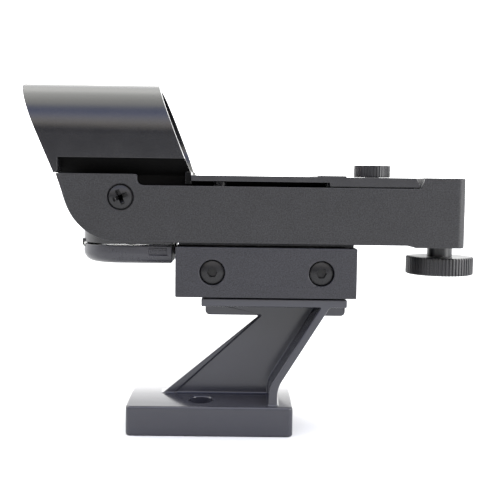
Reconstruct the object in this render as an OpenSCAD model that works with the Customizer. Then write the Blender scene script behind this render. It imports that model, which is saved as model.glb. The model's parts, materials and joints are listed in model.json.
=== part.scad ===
// Red dot finder scope for a telescope: a sight tube tilts in a yoke frame, the frame
// swivels on a clamp block, and the block slides on the dovetail of a mounting bracket.
// Millimetres. Origin: centre of the foot's underside. +X towards the eye, +Z up.

/* [Mounting foot] */
// Length of the foot along the sight axis
foot_l = 48; // [42:0.5:60]
// Width of the foot
foot_w = 31; // [29:0.5:40]
// Height of the foot at its long edges
foot_h = 8.6; // [6:0.1:12]
// Radius of the crown on the foot's top face
foot_crown_r = 140; // [100:5:300]
// Corner radius of the foot in plan
foot_corner_r = 1.6; // [0.5:0.1:4]
// Diameter of the foot's screw holes
foot_hole_d = 7; // [4.5:0.1:7.5]
// Spacing of the foot's screw holes across the foot
foot_hole_pitch = 16.4; // [15:0.1:19]
// Distance of the screw holes ahead of the foot's centre
foot_hole_x = 2.75; // [0:0.25:5]

/* [Leg and rail] */
// Height of the rail's seat above the surface that the foot stands on
seat_z = 39.7; // [36:0.1:50]
// Length of the rail plate
rail_l = 41.6; // [36:0.2:46]
// Distance of the rail's front end ahead of the foot's centre
rail_front = 2.6; // [0:0.1:6]
// Width of the rail plate
rail_w = 28; // [25:0.5:29]
// Thickness of the rail plate
rail_t = 2.3; // [1.8:0.1:4]
// Depth of the rib under the rail plate
rib_h = 4.2; // [2.5:0.1:5]
// Thickness of the leg's web
web_t = 4; // [3:0.1:5]
// Thickness of the leg's rear flange, measured along the sight axis
flange_t = 2.5; // [2:0.1:4]
// Width of the dovetail at its foot
dovetail_neck_w = 14; // [12:0.5:16]
// Width of the dovetail at its top
dovetail_top_w = 19; // [18:0.5:21]
// Height of the dovetail
dovetail_h = 5; // [4:0.1:5.4]

/* [Clamp block] */
// Length of the clamp block
block_l = 51.5; // [46:0.5:60]
// Width of the clamp block
block_w = 30; // [28:0.5:36]
// Height of the clamp block
block_h = 14.3; // [13.5:0.1:18]
// Distance of the block's front face ahead of the foot's centre
block_front = 10; // [8:0.1:12]
// Clearance between the rail and the block
slide_gap = 0.3; // [0.2:0.05:0.5]
// Spacing of the two clamp screws
clamp_pitch = 31; // [28:0.5:36]
// Diameter of a clamp screw's shank
clamp_d = 4; // [3:0.5:4]
// Diameter of a clamp screw's head
clamp_head_d = 7; // [6:0.1:7.6]

/* [Yoke frame] */
// Gap between the block and the frame
frame_gap = 1.1; // [0.8:0.1:2]
// Width over the frame's side plates
frame_w = 30; // [29:0.5:36]
// Thickness of a side plate
plate_t = 2.2; // [1.8:0.1:2.6]
// Distance of the frame's top front corner ahead of the foot's centre
frame_front = 43.8; // [42:0.1:50]
// Height of the side plates at the front
frame_front_h = 19.2; // [18:0.1:24]
// Height of the side plates behind the sight tube
frame_mid_h = 16.1; // [15:0.1:18]
// Distance from the foot's centre to the frame's rear face
frame_rear = 72; // [70:0.5:84]
// Thickness of the frame's floor
floor_t = 2; // [1.6:0.1:2.4]
// Clearance on each side of the sight housing
side_gap = 0.5; // [0.3:0.05:0.8]

/* [Sight tube] */
// Outer diameter of the sight tube
tube_d = 30; // [28:0.5:34]
// Wall of the sight tube
tube_wall = 2; // [1.5:0.1:2.5]
// Length of the sight tube along its top
tube_l = 39.5; // [34:0.5:46]
// Height of the tube's axis above the tilt pivot
tube_rise = 17.45; // [16:0.05:20]
// Slope of the tube's front end face, run over rise
tube_slope = 0.43; // [0.2:0.01:0.5]
// Slope of the tube's rear end face, run over rise
tube_rear_slope = 0.39; // [0.2:0.01:0.5]
// Diameter of the reflector lens
lens_d = 23.6; // [20:0.2:24.4]
// Thickness of the reflector lens
lens_t = 2; // [1.5:0.1:2.5]

/* [Adjusters] */
// Diameter of the altitude knob
altitude_knob_d = 19.9; // [16:0.1:22]
// Height of the altitude knob's rim
altitude_knob_h = 5.2; // [4:0.1:7]
// Diameter of the azimuth knob
azimuth_knob_d = 10.8; // [8:0.1:11]
// Diameter of the adjusting screws
adjuster_d = 3; // [2.5:0.1:3.2]
// Diameter of the brightness knob
dimmer_knob_d = 10.5; // [8:0.1:10.6]
// Height of the brightness knob
dimmer_knob_h = 3.4; // [2.5:0.1:6]

/* [Battery] */
// Diameter of the coin cell
cell_d = 20; // [16:0.5:20]
// Thickness of the coin cell
cell_t = 3.2; // [1.6:0.1:3.2]
// Depth of the battery cover
battery_cover_h = 5.2; // [4.9:0.1:6]

/* [Hidden] */
$fn = 64;

// Cut depth that carries a hole past a face
cut = 1;

// Bracket
foot_mid_z = foot_h + foot_crown_r - sqrt(pow(foot_crown_r, 2) - pow(foot_w / 2, 2));
rail_x0 = -rail_front;
rail_x1 = rail_x0 + rail_l;
rail_z0 = seat_z - rail_t;
rib_z0 = rail_z0 - rib_h;
leg_front_slope = 1.2;
leg_front_top_x = rail_x0 + 16.6;
leg_front_foot_x = leg_front_top_x - leg_front_slope * (rib_z0 - foot_mid_z);
leg_rear_slope = 0.62;
leg_rear_top_x = rail_x1 - 4.9;
leg_rear_foot_shift = 2.7;
leg_rear_bend_r = 8;
edge_bead_top_w = 0.5;
edge_bead_foot_w = 2.4;
edge_bead_t = web_t + 1.2;

// Clamp block
block_x0 = -block_front;
block_x1 = block_x0 + block_l;
block_z0 = seat_z + slide_gap + 0.1;
block_z1 = block_z0 + block_h;
clamp_x = block_x0 + (block_l - clamp_pitch) / 2 + 0.2;
clamp_z = block_z0 + 7.1;
clamp_recess_d = clamp_head_d + 0.25;
clamp_head_h = 2.2;
nut_af = 7;
nut_t = 3.2;
screw_gap = 0.1;

// Azimuth swivel
swivel_x = block_x0 + 4.6;
swivel_d = 4;
azimuth_arm = block_l / 2;
azimuth_x = swivel_x + azimuth_arm;
azimuth_z = block_z1 - 4.75;
tang_l = 7;
tang_w = 7;
tang_slot_l = 10;
tang_slot_w = 12;

// Yoke frame
frame_z0 = block_z1 + frame_gap;
frame_front_z = frame_z0 + frame_front_h;
frame_mid_z = frame_z0 + frame_mid_h;
frame_rear_z = frame_front_z;
frame_front_slope = 0.333;
frame_chin_r = 16;
plate_in = frame_w / 2 - plate_t;
step_from_front = 22.9;
step_x = step_from_front - frame_front;
step_r = 1.7;
step_lip_r = 0.6;
rear_block_x = frame_rear - 12.1;
rear_drop = 0.6;
floor_x0 = block_x0 - 0.3;

// Sight housing
body_w = 2 * (plate_in - side_gap);
body_wall = 1.6;
body_z0 = frame_z0 + floor_t + 2.1;
pivot_from_front = 18.3;
pivot_x = pivot_from_front - frame_front;
pivot_z = frame_front_z - 6.45;
pivot_d = 3.5;
pivot_head_d = 7;
pivot_recess_d = pivot_head_d + 0.25;
pivot_head_h = 2.1;
bush_d = 5.2;
tube_r = tube_d / 2;
bore_r = tube_r - tube_wall;
tube_z = pivot_z + tube_rise;
tube_top_z = tube_z + tube_r;
tube_past_pivot = 9.5;
tube_rear_x = pivot_x + tube_past_pivot;
tube_front_x = tube_rear_x - tube_l;
skirt_z = tube_z - 6.6;
cover_z0 = frame_mid_z + 1.4;
cover_t = 1.6;
cover_z1 = cover_z0 + cover_t;
cover_x1 = rear_block_x - 0.9;
cover_w = frame_w - 0.8;
body_rear_x = cover_x1 - 1.6;
dimmer_from_rear = 12.7;
dimmer_x = cover_x1 - dimmer_from_rear;
skirt_x0 = dimmer_x - 13;
skirt_h = 1.1;
lip_y = 5.4;
lip_t = 1;
tube_rear_foot_x = tube_rear_x + tube_rear_slope * (tube_top_z - cover_z1);
body_top_z = frame_mid_z - 0.3;
cavity_top_z = body_top_z - 1.5;
cheek_x1 = -frame_front + 0.7;
neck_r = bore_r + 0.8;
neck_w = 16;
pad_inset = 2.2;
pad_gap = 0.3;

// Altitude adjuster
rear_wall = 1;
altitude_x = frame_rear - 3.95;
altitude_z0 = frame_z0 - rear_drop;
altitude_neck_d = 7.4;
altitude_washer_t = 0.5;
altitude_knob_z1 = altitude_z0 - 3.4;
altitude_knob_z0 = altitude_knob_z1 - altitude_knob_h;
tongue_z0 = frame_z0 + floor_t + 3.6;
tongue_h = 5;
tongue_w = 11;
cavity_w = tongue_w + 3;
circlip_t = 0.6;
nut_bore_gap = 0.35;
insert_d = adjuster_d + 1.8;

// Lens and light source
led_x = tube_rear_x + 4.8;
led_z = tube_z - 8.7;
lens_to_rear = 24;
lens_x = tube_rear_x - lens_to_rear;
led_angle = atan((tube_z - led_z) / (led_x - lens_x));
lens_tilt = led_angle / 2;
lens_seat_gap = 0.05;
cell_len = 6.4;

// Brightness control
dimmer_y = -6;
dimmer_shaft_d = 3;
dimmer_body_d = 8.6;
dimmer_body_h = 4.2;
dimmer_gap = 0.1;

// Battery bay
bay_r = body_w / 2;
bay_x = pivot_x - 0.3;
bay_x1 = block_x0 - 1.2;
bay_z0 = frame_z0 - 0.7;
battery_seam = 0.5;
battery_cover_z1 = bay_z0 - battery_seam;
battery_cover_z0 = battery_cover_z1 - battery_cover_h;
battery_floor_t = 1.3;
cell_gap = 0.3;
hinge_r = 0.95;
hinge_x = bay_x - bay_r + hinge_r + 0.1;
hinge_z = battery_cover_z1 + 0.1;
hinge_pin_d = 1;
hinge_relief_r = 1.35;
battery_edge_r = 3.2;
latch_t = 0.4;
latch_gap = 0.15;
latch_w = 8;
knuckle_w = 4;
lug_w = 2.2;
knuckle_gap = 0.3;

// A box from its low corner to its high corner
module box(lo, hi) {
    translate(lo)
        cube(hi - lo);
}

// A cylinder along Y from y0 to y1
module rod_y(r, x, z, y0, y1, fn = 64) {
    translate([x, y0, z])
        rotate([-90, 0, 0])
            cylinder(r = r, h = y1 - y0, $fn = fn);
}

// A cylinder along Z from z0 to z1
module rod_z(r, x, y, z0, z1, fn = 64) {
    translate([x, y, z0])
        cylinder(r = r, h = z1 - z0, $fn = fn);
}

// A rectangle with round corners, from its low corner to its high corner
module round_rect(lo, hi, r) {
    translate([lo[0] + r, lo[1]])
        square([hi[0] - lo[0] - 2 * r, hi[1] - lo[1]]);
    translate([lo[0], lo[1] + r])
        square([hi[0] - lo[0], hi[1] - lo[1] - 2 * r]);
    for (x = [lo[0] + r, hi[0] - r])
        for (y = [lo[1] + r, hi[1] - r])
            translate([x, y])
                circle(r = r);
}

// A profile in the XZ plane, extruded across Y from y0 to y1
module across(y0, y1) {
    translate([0, y1, 0])
        rotate([90, 0, 0])
            linear_extrude(height = y1 - y0)
                children();
}

// Copies on both sides of the mid-plane
module both_sides() {
    children();
    mirror([0, 1, 0])
        children();
}

// A ribbed disc's outline: straight ribs round a circle
function ribbed(r, depth, ribs) = [
    for (i = [0 : 4 * ribs - 1])
        let (a = i * 90 / ribs, low = (i % 4 < 2) ? depth : 0)
            [(r - low) * cos(a), (r - low) * sin(a)]
];

// Points on an arc from angle a0 to angle a1
function arc(cx, cy, r, a0, a1, steps = 12) = [
    for (i = [0 : steps])
        let (a = a0 + (a1 - a0) * i / steps)
            [cx + r * cos(a), cy + r * sin(a)]
];

// Bracket

// The outer face of the leg's rear flange, from the foot up to the rail
function leg_rear_path(shift) =
    let (
        top_z = rail_z0 + cut / 2,
        turn = atan(leg_rear_slope),
        foot_x = leg_rear_top_x - leg_rear_slope * (rail_z0 - foot_mid_z) + leg_rear_foot_shift,
        bend_z = rail_z0 - (leg_rear_top_x - foot_x) / leg_rear_slope,
        arc_z = bend_z - leg_rear_bend_r * tan(turn / 2)
    )
    concat(
        [[foot_x + shift, foot_h / 2]],
        [for (p = arc(foot_x + leg_rear_bend_r, arc_z, leg_rear_bend_r, 180, 180 - turn, 6))
            [p[0] + shift, p[1]]],
        [[leg_rear_top_x + leg_rear_slope * cut / 2 + shift, top_z]]
    );

function backwards(path) = [for (i = [len(path) - 1 : -1 : 0]) path[i]];

// Foot with a crowned top and round corners
module foot_solid() {
    intersection() {
        linear_extrude(height = foot_mid_z + cut)
            round_rect([-foot_l / 2, -foot_w / 2], [foot_l / 2, foot_w / 2], foot_corner_r);
        translate([0, 0, foot_mid_z - foot_crown_r])
            rotate([0, 90, 0])
                cylinder(r = foot_crown_r, h = foot_l + 2 * cut, center = true, $fn = 256);
    }
}

// The leg's web: a slanted plate in the mid-plane
module web_profile() {
    rear = leg_rear_path(-flange_t / 2);
    polygon(concat(
        [[leg_front_foot_x - leg_front_slope * foot_h / 4, foot_mid_z - foot_h / 4]],
        [[leg_front_top_x, rib_z0]],
        [[leg_front_top_x, rail_z0 + cut / 2]],
        backwards(rear)
    ));
}

module rib_profile() {
    r = 1.4;
    round_rect([rail_x0 + 0.7, rib_z0], [rail_x1 + 0.9, rail_z0 + rail_t / 2], r);
}

module flange_profile() {
    polygon(concat(leg_rear_path(0), backwards(leg_rear_path(-flange_t))));
}

// A low bead along the leg's front edge, wider towards the foot
module bead_profile() {
    stretch = sqrt(1 + pow(leg_front_slope, 2));
    sink = foot_h / 4;
    foot_x = leg_front_foot_x - leg_front_slope * sink;
    polygon([
        [foot_x, foot_mid_z - sink],
        [leg_front_top_x, rib_z0],
        [leg_front_top_x + edge_bead_top_w * stretch, rib_z0],
        [foot_x + edge_bead_foot_w * stretch, foot_mid_z - sink]
    ]);
}

module dovetail_profile(grow = 0) {
    neck = dovetail_neck_w / 2 + grow;
    top = dovetail_top_w / 2 + grow;
    polygon([
        [-neck, seat_z - cut / 2],
        [-neck, seat_z],
        [-top, seat_z + dovetail_h - 1],
        [-top, seat_z + dovetail_h + grow],
        [top, seat_z + dovetail_h + grow],
        [top, seat_z + dovetail_h - 1],
        [neck, seat_z],
        [neck, seat_z - cut / 2]
    ]);
}

// A profile in the YZ plane, extruded along X from x0 to x1
module along(x0, x1) {
    translate([x0, 0, 0])
        rotate([90, 0, 90])
            linear_extrude(height = x1 - x0)
                children();
}

module mount_bracket() {
    color([0.33, 0.33, 0.35])
        difference() {
            union() {
                foot_solid();
                across(-web_t / 2, web_t / 2)
                    web_profile();
                across(-web_t / 2, web_t / 2)
                    rib_profile();
                across(-edge_bead_t / 2, edge_bead_t / 2)
                    bead_profile();
                across(-rail_w / 2, rail_w / 2)
                    flange_profile();
                box([rail_x0, -rail_w / 2, rail_z0], [rail_x1, rail_w / 2, seat_z]);
                along(rail_x0, rail_x1)
                    dovetail_profile();
            }
            for (side = [-1, 1])
                rod_z(foot_hole_d / 2, -foot_hole_x, side * foot_hole_pitch / 2, -cut, foot_mid_z + cut);
        }
}

// Clamp block

module at_clamp_screws() {
    for (i = [0, 1])
        translate([clamp_x + i * clamp_pitch, 0, clamp_z])
            children();
}

module rail_clamp() {
    slot_x = azimuth_x - tang_slot_l / 2;
    color([0.33, 0.33, 0.35])
        difference() {
            box([block_x0, -block_w / 2, block_z0], [block_x1, block_w / 2, block_z1]);
            along(block_x0 - cut, block_x1 + cut)
                dovetail_profile(slide_gap);
            at_clamp_screws() {
                rod_y(clamp_d / 2 + screw_gap, 0, 0, -block_w / 2 - cut, block_w / 2 + cut);
                rod_y(clamp_recess_d / 2, 0, 0, -block_w / 2 - cut, -block_w / 2 + clamp_head_h);
                translate([0, block_w / 2 - nut_t, 0])
                    rotate([-90, 0, 0])
                        cylinder(d = (nut_af + 2 * screw_gap) / cos(30), h = nut_t + cut, $fn = 6);
            }
            rod_z(swivel_d / 2, swivel_x, 0, clamp_z + 0.4, block_z1 + cut);
            box([slot_x, -tang_slot_w / 2, azimuth_z - 3.4],
                [slot_x + tang_slot_l, tang_slot_w / 2, block_z1 + cut]);
            rod_y(adjuster_d / 2 + screw_gap, azimuth_x, azimuth_z, 0, block_w / 2 + cut);
        }
}

// Button head with a hex socket, shank towards +Y
module clamp_screw() {
    dome_r = 9;
    difference() {
        union() {
            intersection() {
                rod_y(clamp_head_d / 2, 0, 0, -block_w / 2, -block_w / 2 + clamp_head_h);
                translate([0, -block_w / 2 + 0.15 + dome_r, 0])
                    sphere(r = dome_r, $fn = 96);
            }
            rod_y(clamp_d / 2, 0, 0, -block_w / 2 + clamp_head_h - 0.2, block_w / 2 - 0.3);
        }
        translate([0, -block_w / 2 - cut, 0])
            rotate([-90, 0, 0])
                cylinder(d = 2.5 / cos(30), h = cut + 1.7, $fn = 6);
    }
}

module clamp_screws() {
    color([0.2, 0.2, 0.21])
        at_clamp_screws()
            clamp_screw();
}

module clamp_nuts() {
    color([0.7, 0.7, 0.72])
        at_clamp_screws()
            translate([0, block_w / 2 - nut_t, 0])
                rotate([-90, 0, 0])
                    difference() {
                        cylinder(d = nut_af / cos(30), h = nut_t - 0.1, $fn = 6);
                        translate([0, 0, -cut])
                            cylinder(d = clamp_d, h = nut_t + 2 * cut);
                    }
}

// Azimuth swivel

module azimuth_pivot_screw() {
    head_z = frame_z0 + floor_t + 0.3;
    color([0.7, 0.7, 0.72])
        difference() {
            union() {
                rod_z(swivel_d / 2, swivel_x, 0, clamp_z + 0.9, head_z);
                rod_z(3.6, swivel_x, 0, head_z, head_z + 1.3);
            }
            box([swivel_x - 4, -0.4, head_z + 0.6], [swivel_x + 4, 0.4, head_z + 2]);
        }
}

module azimuth_washer() {
    z = frame_z0 + floor_t;
    color([0.75, 0.7, 0.5])
        difference() {
            rod_z(4, swivel_x, 0, z, z + 0.3);
            rod_z(swivel_d / 2 + 0.05, swivel_x, 0, z - cut, z + cut);
        }
}

module swivel_washer() {
    color([0.15, 0.15, 0.15])
        difference() {
            rod_z(4.1, swivel_x, 0, block_z1, frame_z0);
            rod_z(swivel_d / 2 + 0.05, swivel_x, 0, block_z1 - cut, frame_z0 + cut);
        }
}

module azimuth_knob() {
    y0 = block_w / 2 + 0.4;
    color([0.12, 0.12, 0.13])
        difference() {
            translate([azimuth_x, y0, azimuth_z])
                rotate([-90, 0, 0]) {
                    linear_extrude(height = 5)
                        polygon(ribbed(azimuth_knob_d / 2, 0.35, 30));
                    translate([0, 0, 5])
                        cylinder(r = azimuth_knob_d / 2 - 0.8, h = 0.6);
                }
            rod_y(adjuster_d / 2, azimuth_x, azimuth_z, y0 - cut, y0 + 4);
        }
}

module azimuth_screw() {
    color([0.7, 0.7, 0.72])
        rod_y(adjuster_d / 2, azimuth_x, azimuth_z, -tang_w / 2 - 1.5, block_w / 2 + 4.4);
}

module azimuth_circlip() {
    y0 = tang_slot_w / 2 - circlip_t - 0.1;
    color([0.5, 0.5, 0.52])
        difference() {
            rod_y(adjuster_d / 2 + 1.1, azimuth_x, azimuth_z, y0, y0 + circlip_t);
            rod_y(adjuster_d / 2, azimuth_x, azimuth_z, y0 - cut, y0 + 2);
            box([azimuth_x - 0.9, y0 - cut, azimuth_z - 4], [azimuth_x + 0.9, y0 + 2, azimuth_z]);
        }
}

module azimuth_nut() {
    color([0.8, 0.65, 0.3])
        difference() {
            rod_y(adjuster_d / 2 + 1.1, azimuth_x, azimuth_z, -tang_w / 2, tang_w / 2);
            rod_y(adjuster_d / 2 + nut_bore_gap, azimuth_x, azimuth_z, -tang_w, tang_w);
        }
}

// Yoke frame

// Side view of the frame: slanted front, round chin, stepped top and raised rear block
module frame_profile() {
    turn = 90 - atan(frame_front_slope);
    corner_x = -frame_front + frame_front_slope * (frame_front_z - frame_z0);
    chin_x = corner_x + frame_chin_r * tan(turn / 2);
    difference() {
        polygon(concat(
            [[-frame_front, frame_front_z]],
            arc(chin_x, frame_z0 + frame_chin_r, frame_chin_r, 180 + atan(frame_front_slope), 270),
            [[frame_rear - 16.4, frame_z0]],
            [[frame_rear - 14, frame_z0 - rear_drop]],
            [[frame_rear, frame_z0 - rear_drop]],
            [[frame_rear, frame_rear_z]],
            [[rear_block_x + 0.2, frame_rear_z]],
            [[rear_block_x, frame_rear_z - 0.9]],
            [[rear_block_x - 0.9, frame_mid_z]],
            arc(step_x + step_r, frame_mid_z + step_r, step_r, 270, 180, 6),
            arc(step_x - step_lip_r, frame_front_z - step_lip_r, step_lip_r, 0, 90, 4)
        ));
    }
}

module yoke_frame() {
    half = frame_w / 2;
    cavity_x0 = floor_x0 - 60;
    tang_x = azimuth_x - tang_l / 2;
    corner_r = 2.4;
    color([0.32, 0.32, 0.33])
        difference() {
            union() {
                intersection() {
                    across(-half, half)
                        frame_profile();
                    linear_extrude(height = frame_front_z + cut)
                        round_rect([-frame_front - 20, -half], [frame_rear, half], corner_r);
                }
                box([tang_x, -tang_w / 2, azimuth_z - 3.1],
                    [tang_x + tang_l, tang_w / 2, frame_z0 + floor_t / 2]);
                // Pad under the floor, just clear of the block
                difference() {
                    box([block_x0 + 0.8, pad_inset - half, frame_z0 - frame_gap + pad_gap],
                        [block_x1 - 0.8, half - pad_inset, frame_z0 + floor_t / 2]);
                    rod_z(4.5, swivel_x, 0, frame_z0 - frame_gap - cut, frame_z0);
                }
            }
            // Channel for the sight housing, open at the top and through the chin
            box([cavity_x0, -plate_in, frame_z0 + floor_t],
                [rear_block_x + 0.4, plate_in, frame_front_z + cut]);
            box([cavity_x0, -plate_in, frame_z0 - cut],
                [floor_x0, plate_in, frame_front_z + cut]);
            // Well in the rear block for the housing's tongue, open towards the channel
            box([rear_block_x - cut, -cavity_w / 2, frame_z0 + floor_t],
                [frame_rear - rear_wall, cavity_w / 2, tongue_z0 + tongue_h + 3.2]);
            rod_z(adjuster_d / 2 + screw_gap, altitude_x, 0, altitude_z0 - cut, frame_z0 + 8);
            rod_z(swivel_d / 2 + 0.05, swivel_x, 0, frame_z0 - cut, frame_z0 + floor_t + cut);
            rod_y(adjuster_d / 2 + 1.1, azimuth_x, azimuth_z, -tang_w, tang_w);
            both_sides() {
                rod_y(bush_d / 2, pivot_x, pivot_z, plate_in - cut, half + cut);
                rod_y(pivot_recess_d / 2, pivot_x, pivot_z, half - 0.8, half + cut);
            }
        }
}

// Tilt pivot

module pivot_bushes() {
    color([0.8, 0.65, 0.3])
        both_sides()
            difference() {
                rod_y(bush_d / 2, pivot_x, pivot_z, plate_in, frame_w / 2 - 0.8);
                rod_y(pivot_d / 2 + 0.06, pivot_x, pivot_z, plate_in - cut, frame_w / 2);
            }
}

module pivot_washers() {
    color([0.85, 0.85, 0.82])
        both_sides()
            difference() {
                rod_y(bush_d / 2 + 1, pivot_x, pivot_z, body_w / 2, plate_in - 0.1);
                rod_y(pivot_d / 2, pivot_x, pivot_z, body_w / 2 - cut, plate_in + cut);
            }
}

// Pan head with a cross recess, shank towards the mid-plane
module pivot_screw() {
    seat = frame_w / 2 - 0.8 + 0.1;
    dome_r = 4.4;
    difference() {
        union() {
            intersection() {
                rod_y(pivot_head_d / 2, pivot_x, pivot_z, seat, seat + pivot_head_h);
                translate([pivot_x, seat + pivot_head_h - dome_r, pivot_z])
                    sphere(r = dome_r, $fn = 96);
            }
            rod_y(pivot_d / 2, pivot_x, pivot_z, body_w / 2 - 4.5, seat + 0.5);
        }
        translate([pivot_x, seat + pivot_head_h - 1.3, pivot_z])
            rotate([0, 25, 0])
                for (turn = [0, 90])
                    rotate([0, turn, 0])
                        translate([-1.9, 0, -0.45])
                            cube([3.8, 2 * cut, 0.9]);
    }
}

module pivot_screws() {
    color([0.18, 0.18, 0.19])
        both_sides()
            pivot_screw();
}

// Altitude adjuster

module altitude_knob() {
    neck_z1 = altitude_z0 - altitude_washer_t - 0.1;
    color([0.14, 0.14, 0.15])
        difference() {
            translate([altitude_x, 0, altitude_knob_z0]) {
                linear_extrude(height = altitude_knob_h)
                    polygon(ribbed(altitude_knob_d / 2, 0.35, 60));
                cylinder(d = altitude_neck_d, h = neck_z1 - altitude_knob_z0);
            }
            rod_z(adjuster_d / 2, altitude_x, 0, altitude_knob_z0 + 1.5, altitude_z0 + cut);
        }
}

module altitude_screw() {
    color([0.7, 0.7, 0.72])
        rod_z(adjuster_d / 2, altitude_x, 0, altitude_knob_z0 + 1.5, tongue_z0 + tongue_h + 2.6);
}

module altitude_washer() {
    color([0.85, 0.85, 0.82])
        difference() {
            rod_z(altitude_neck_d / 2 - 0.2, altitude_x, 0, altitude_z0 - altitude_washer_t, altitude_z0);
            rod_z(adjuster_d / 2 + screw_gap, altitude_x, 0, altitude_z0 - cut, altitude_z0 + cut);
        }
}

module altitude_circlip() {
    z = frame_z0 + floor_t + 0.05;
    color([0.5, 0.5, 0.52])
        difference() {
            rod_z(adjuster_d / 2 + 1.2, altitude_x, 0, z, z + circlip_t);
            rod_z(adjuster_d / 2, altitude_x, 0, z - cut, z + cut);
            box([altitude_x - 0.9, -4, z - cut], [altitude_x + 0.9, 0, z + cut]);
        }
}

// A stack of rings stands for the coils of the preload spring
module altitude_spring() {
    wire_d = 0.6;
    z0 = frame_z0 + floor_t + circlip_t + 0.1;
    z1 = tongue_z0 - 0.05;
    coils = 4;
    pitch = (z1 - z0 - wire_d) / (coils - 1);
    color([0.6, 0.6, 0.62])
        for (i = [0 : coils - 1])
            translate([altitude_x, 0, z0 + wire_d / 2 + i * pitch])
                rotate_extrude()
                    translate([adjuster_d / 2 + 0.75, 0])
                        circle(d = wire_d, $fn = 16);
}

module altitude_nut() {
    color([0.8, 0.65, 0.3])
        difference() {
            rod_z(insert_d / 2, altitude_x, 0, tongue_z0, tongue_z0 + tongue_h);
            rod_z(adjuster_d / 2 + nut_bore_gap, altitude_x, 0, tongue_z0 - cut, tongue_z0 + tongue_h + cut);
        }
}

// Sight housing

// The slab between the tube's two slanted end faces
module tube_ends_profile() {
    over = 0.2 * tube_d;
    polygon([
        [tube_front_x - tube_slope * over, tube_top_z + over],
        [tube_rear_x - tube_rear_slope * over, tube_top_z + over],
        [tube_rear_x + tube_rear_slope * tube_d, tube_top_z - tube_d],
        [tube_front_x + tube_slope * tube_d, tube_top_z - tube_d]
    ]);
}

module tube_rod(r) {
    translate([tube_front_x - 10, 0, tube_z])
        rotate([0, 90, 0])
            cylinder(r = r, h = tube_l + 40, $fn = 128);
}

// End view of the tube: round, with straight sides from its axis down to the skirt line
module tube_section() {
    intersection() {
        translate([0, tube_z])
            circle(r = tube_r, $fn = 128);
        translate([-tube_r, tube_z])
            square([tube_d, tube_d]);
    }
    translate([-tube_r, skirt_z])
        square([tube_d, tube_z - skirt_z]);
    // A narrower neck carries the tube below the skirt line
    translate([0, tube_z])
        circle(r = neck_r, $fn = 128);
    translate([-neck_w / 2, body_top_z - 0.5])
        square([neck_w, tube_z - sqrt(pow(neck_r, 2) - pow(neck_w / 2, 2)) + 0.05 - body_top_z + 0.5]);
}

// Side view of the housing's box: it keeps inside the frame's chin
module body_profile() {
    front_x = -frame_front + 0.6;
    chin_r = 13.2;
    front_z = body_z0 + chin_r - chin_r * sin(20);
    polygon(concat(
        [[front_x + 16.4 - chin_r * cos(20) - (body_top_z - front_z) * 0.3, body_top_z]],
        arc(front_x + 16.4, body_z0 + chin_r, chin_r, 200, 270, 8),
        [[body_rear_x, body_z0]],
        [[body_rear_x, cover_z0]],
        [[skirt_x0 + 0.3, cover_z0]],
        [[skirt_x0 + 0.3, body_top_z]]
    ));
}

// Plan of the battery bay: round at the front, square at the rear
module bay_plan(inset = 0) {
    r = bay_r - inset;
    translate([bay_x, 0])
        circle(r = r, $fn = 96);
    translate([bay_x, -r])
        square([bay_x1 - inset - bay_x, 2 * r]);
}

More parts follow.
